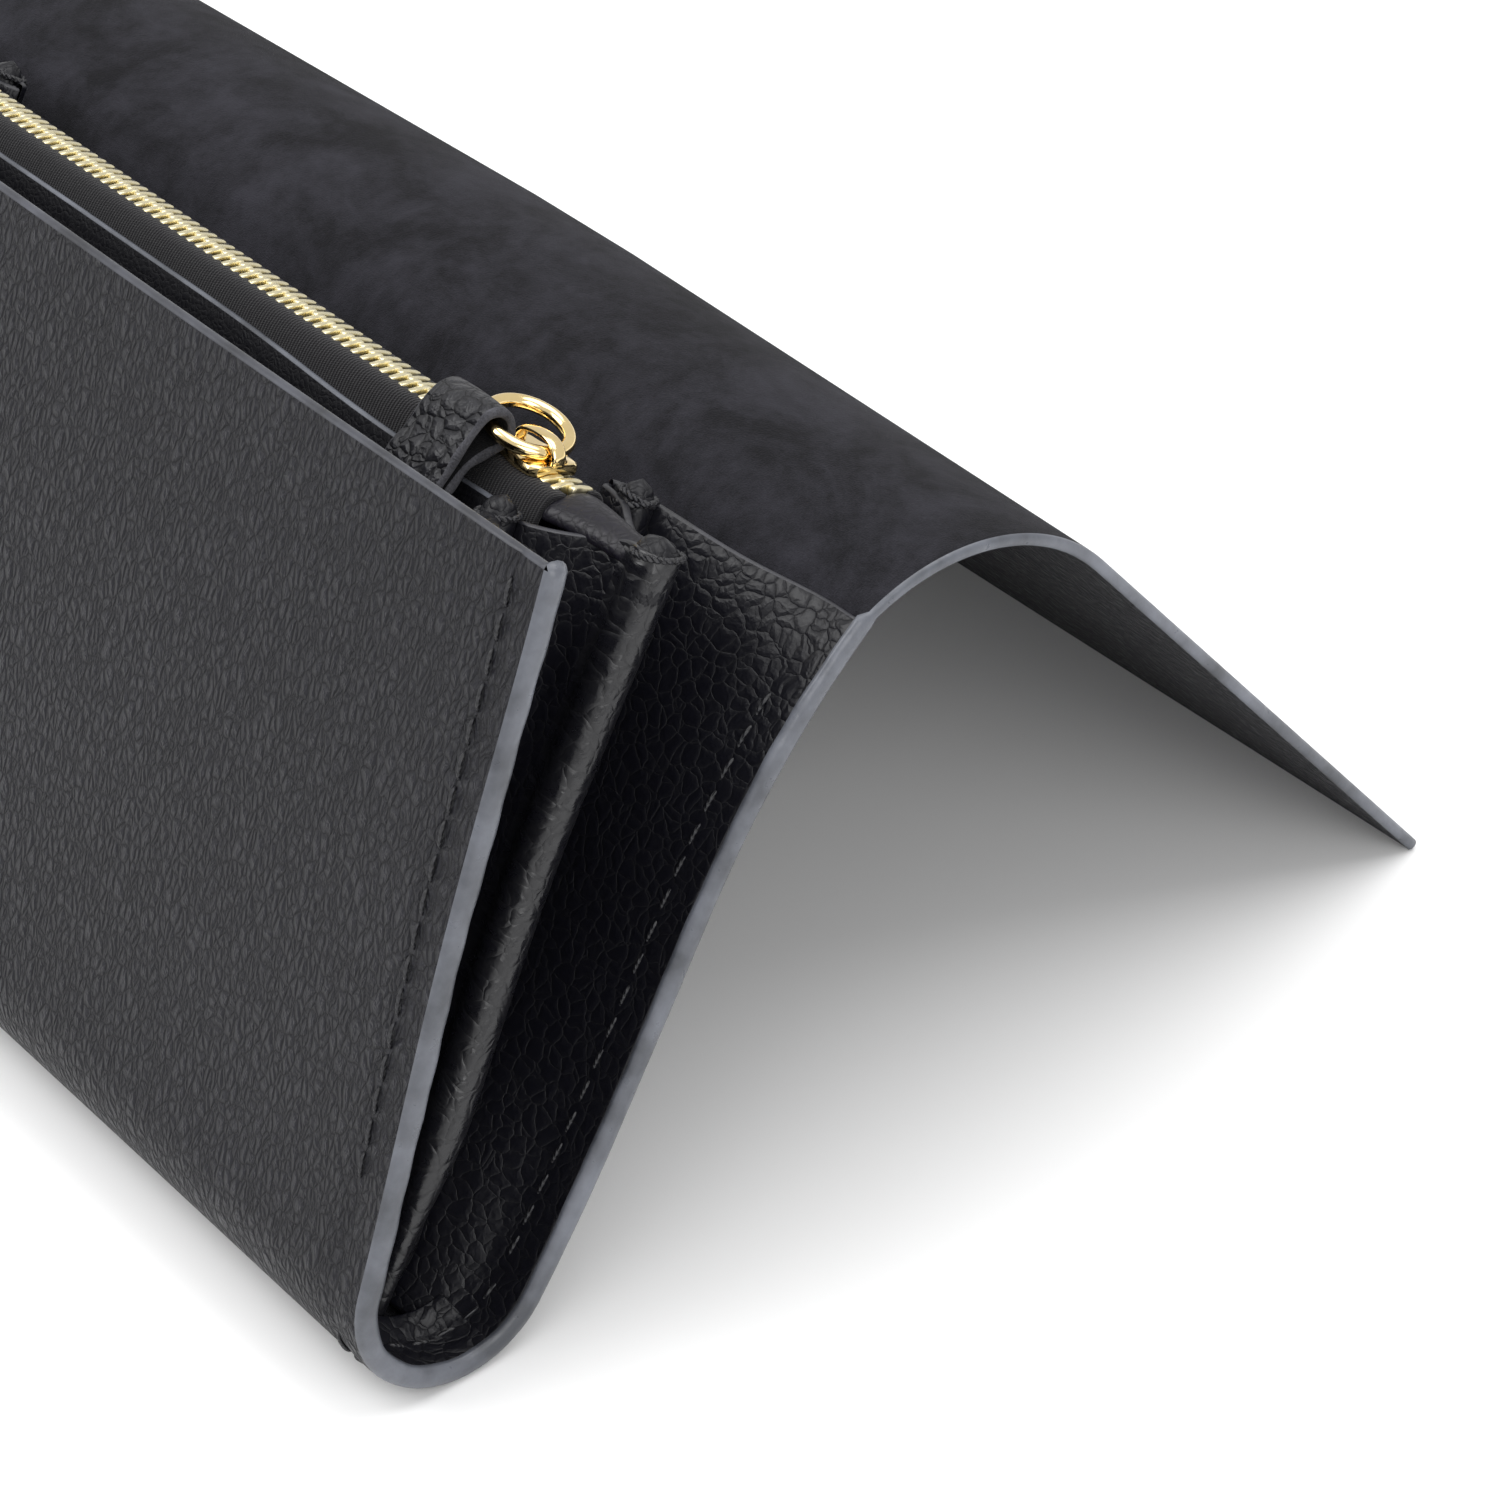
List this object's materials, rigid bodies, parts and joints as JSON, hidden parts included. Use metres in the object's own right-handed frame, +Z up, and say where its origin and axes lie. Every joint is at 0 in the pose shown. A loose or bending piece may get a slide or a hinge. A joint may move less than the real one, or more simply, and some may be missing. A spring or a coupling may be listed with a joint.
{
  "type": "flap wallet",
  "caption": "Long leather flap-over wallet with accordion side gussets and a zipped centre pocket, open and standing on its rounded bottom and flap edge.",
  "frame": {"origin": "middle of the bounding box's bottom face, on the surface the wallet stands on", "axes": "+X along the wallet's length, +Y back towards the flap's free edge, +Z up"},
  "size_m": [0.2, 0.159, 0.0983],
  "materials": {
    "pebbled_leather": "fine pebbled grain, soft sheen, painted edges; flesh side left as suede",
    "gusset_leather": "glossier pebbled grain",
    "pocket_leather": "pebbled grain, painted top edge",
    "smooth_leather": "smooth",
    "zip_tape": "woven twill tape",
    "zip_teeth_metal": "pale gold, satin",
    "polished_gold": "polished gold plate",
    "black_thread": "twisted thread"
  },
  "bodies": {
    "shell": {"back_panel": "pebbled_leather", "bottom_fold_front_half": "pebbled_leather", "bottom_fold_rear_half": "pebbled_leather", "gusset_right_bottom_flange": "gusset_leather", "gusset_left_bottom_flange": "gusset_leather", "gusset_right_rear_wing": "gusset_leather", "gusset_left_rear_wing": "gusset_leather", "stitches_back_right": "black_thread", "stitches_back_left": "black_thread"},
    "front": {"front_panel": "pebbled_leather", "gusset_right_front_wing": "gusset_leather", "gusset_left_front_wing": "gusset_leather", "stitches_front_right": "black_thread", "stitches_front_left": "black_thread"},
    "pocket": {"pocket_front_wall": "pocket_leather", "pocket_rear_wall": "pocket_leather", "pocket_bottom_fold": "pocket_leather", "gusset_right_centre_pleat": "gusset_leather", "gusset_left_centre_pleat": "gusset_leather", "zip_tape_front": "zip_tape", "zip_tape_rear": "zip_tape", "zip_teeth_front": "zip_teeth_metal", "zip_teeth_rear": "zip_teeth_metal", "zip_end_tab_right": "smooth_leather", "zip_end_tab_left": "smooth_leather"},
    "slider": {"zip_slider_upper_wing": "polished_gold", "zip_slider_lower_wing": "polished_gold", "zip_slider_bail": "polished_gold"},
    "ring": {"pull_ring": "polished_gold"},
    "pull": {"leather_pull": "pebbled_leather"},
    "flap_root": {"flap_root_strip": "pebbled_leather"},
    "flap_bridge": {"flap_bridge_strip": "pebbled_leather"},
    "flap": {"flap_panel": "pebbled_leather"}
  },
  "joints": [
    {"name": "front_panel_fold", "type": "hinge", "parent": "shell", "child": "front", "pos_m": [0, -0.07772, 0.01834], "axis": [-1, 0, 0], "range_deg": [0, 10], "deforming": ["gusset_right_front_wing", "gusset_left_front_wing"]},
    {"name": "pocket_swing", "type": "hinge", "parent": "shell", "child": "pocket", "pos_m": [0, -0.06608, 0.0134], "axis": [-1, 0, 0], "range_deg": [0, 2], "deforming": ["gusset_right_rear_wing", "gusset_left_rear_wing"]},
    {"name": "flap_fold", "type": "hinge", "parent": "shell", "child": "flap_root", "pos_m": [0, -0.00316, 0.07338], "axis": [1, 0, 0], "range_deg": [0, 109]},
    {"name": "flap_bridge_fold", "type": "hinge", "parent": "flap_root", "child": "flap_bridge", "pos_m": [0, 0.02005, 0.07279], "axis": [1, 0, 0], "range_deg": [0, 107.4]},
    {"name": "flap_panel_fold", "type": "hinge", "parent": "flap_bridge", "child": "flap", "pos_m": [0, 0.04382, 0.04615], "axis": [1, 0, 0], "range_deg": [0, 71.3]},
    {"name": "slider_travel", "type": "slide", "parent": "pocket", "child": "slider", "axis": [-1, 0, 0], "range_m": [0, 0.112]},
    {"name": "ring_swing", "type": "hinge", "parent": "slider", "child": "ring", "pos_m": [0.0644, -0.02002, 0.08536], "axis": [0, -0.9397, 0.342], "range_deg": [-60, 0]},
    {"name": "pull_swing", "type": "hinge", "parent": "ring", "child": "pull", "pos_m": [0.05957, -0.02427, 0.08829], "axis": [1, 0, 0], "range_deg": [-20, 5]}
  ],
  "couplings": [
    {"joint": "pocket_swing", "follows": "front_panel_fold", "ratio": 0.2},
    {"joint": "flap_bridge_fold", "follows": "flap_fold", "ratio": 0.985},
    {"joint": "flap_panel_fold", "follows": "flap_fold", "ratio": 0.654}
  ]
}
